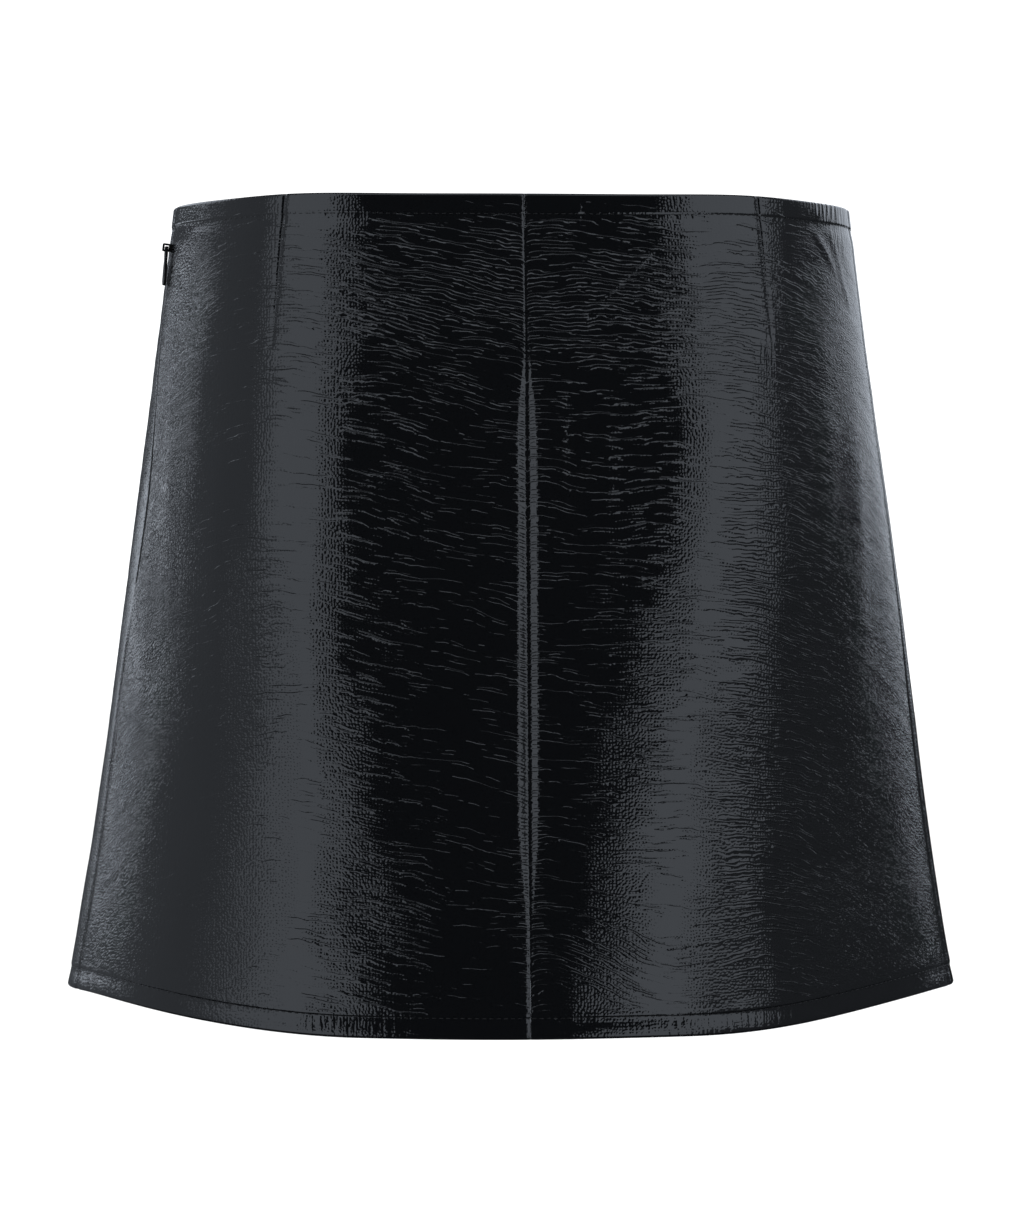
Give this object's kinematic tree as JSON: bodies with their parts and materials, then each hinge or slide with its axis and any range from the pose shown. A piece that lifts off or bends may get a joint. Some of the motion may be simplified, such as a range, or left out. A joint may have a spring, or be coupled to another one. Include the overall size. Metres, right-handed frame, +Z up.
{
  "type": "vinyl mini skirt",
  "caption": "Short A-line skirt of black crinkled patent vinyl, hollow as when worn, with back darts, a centre back seam and a side zip.",
  "frame": {"origin": "middle of the waist opening, level with the waist edge, where the wearer holds the skirt up", "axes": "+Z up out of the waist, -Y the centre back, +Y the centre front, +X the wearer's right; the zip is in the side seam at -X"},
  "size_m": [0.4184, 0.2816, 0.3805],
  "materials": {
    "patent_vinyl": "glossy black patent film with fine crinkles, on a knit backing",
    "zip_tape": "matt woven tape",
    "zip_metal": "black enamel"
  },
  "bodies": {
    "skirt": {"back_left": "patent_vinyl", "back_right": "patent_vinyl", "front": "patent_vinyl", "zip_tape_back": "zip_tape", "zip_tape_front": "zip_tape", "zip_slider": "zip_metal"},
    "pull_tab": {"zip_pull": "zip_metal"}
  },
  "joints": [
    {"name": "pull_tab_swing", "type": "hinge", "parent": "skirt", "child": "pull_tab", "pos_m": [-0.1626, -0.01529, -0.01898], "axis": [-0.1685, 0.9857, 0], "range_deg": [0, 160]}
  ]
}
